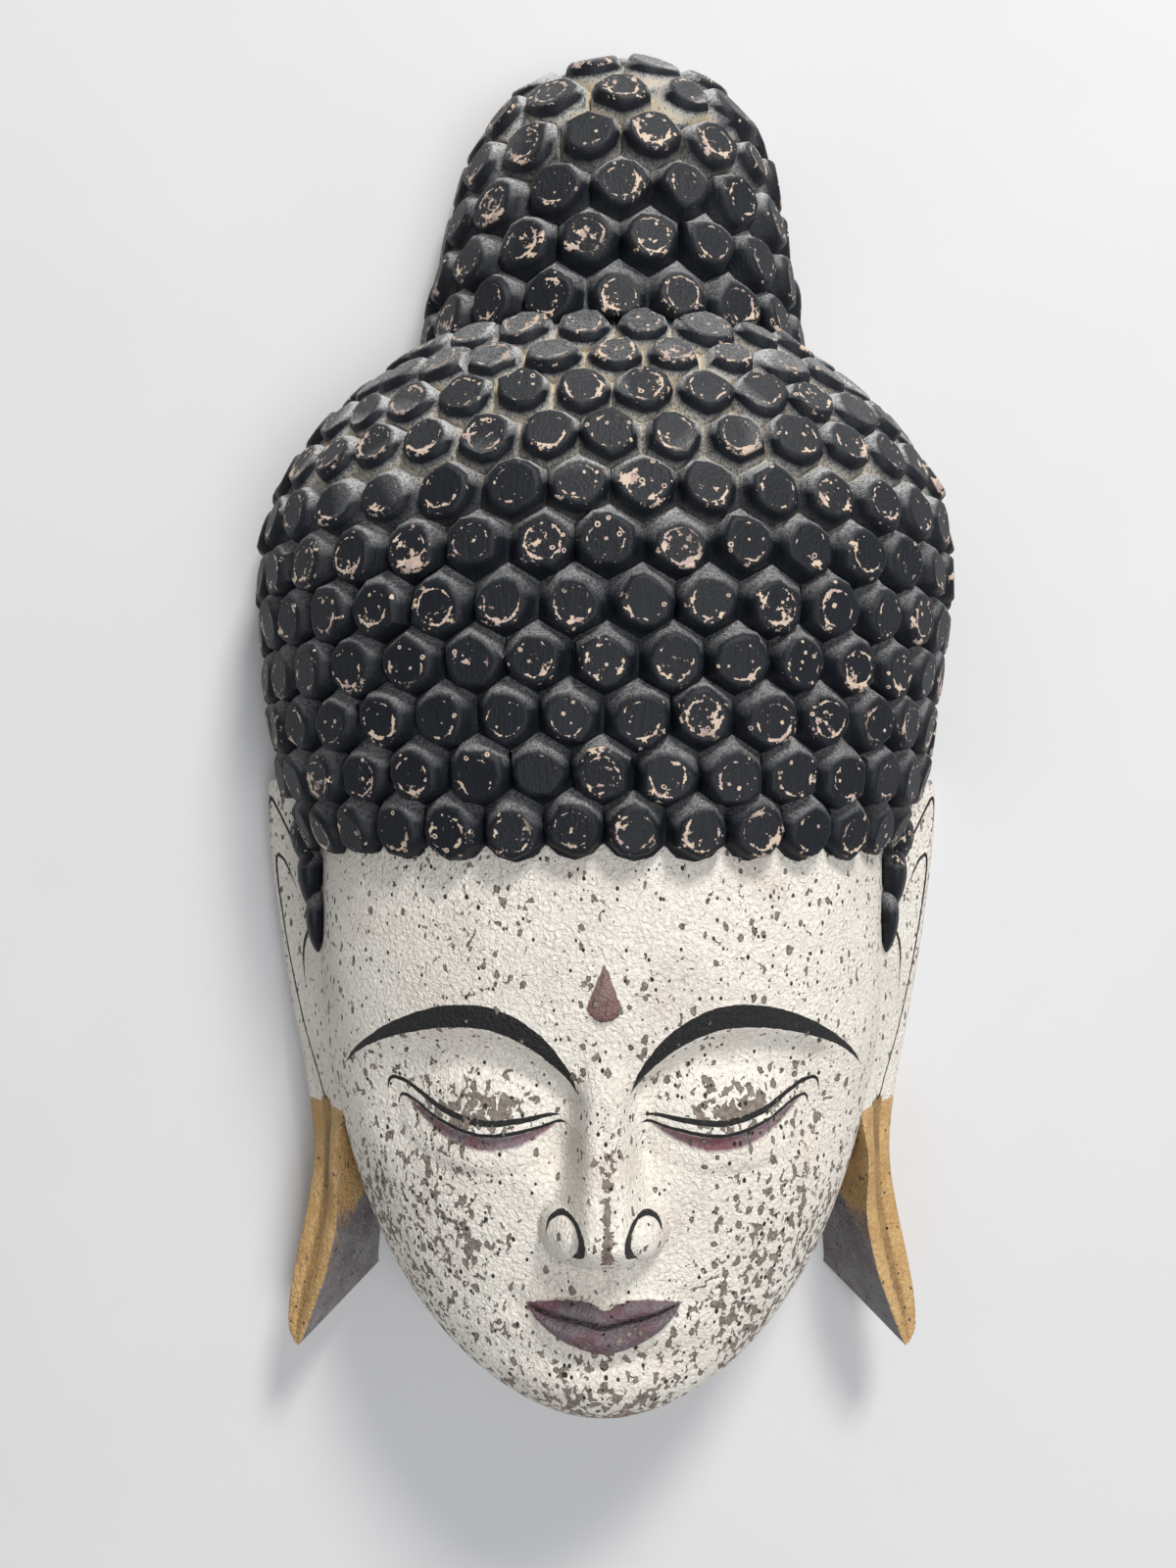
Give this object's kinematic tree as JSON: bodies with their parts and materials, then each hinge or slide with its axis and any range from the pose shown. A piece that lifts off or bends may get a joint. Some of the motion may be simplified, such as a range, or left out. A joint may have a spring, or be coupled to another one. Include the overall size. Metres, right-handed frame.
{
  "type": "carved wooden wall mask",
  "caption": "Carved wall mask of a calm face with closed eyes, rows of snail curls, a topknot and long free ear lobes, with a flat, hollowed back.",
  "frame": {"origin": "middle of the mask's own box, on its flat back", "axes": "+Y towards the crown, +X towards the mask's left ear as it is looked at from the front on the right, +Z out of the face"},
  "size_m": [0.3226, 0.6, 0.1447],
  "materials": {
    "painted_wood": "matt worn paint: cream face and ears, black hair, ochre lobes, bare wood behind"
  },
  "bodies": {
    "root": {"mask": "painted_wood"}
  },
  "joints": []
}
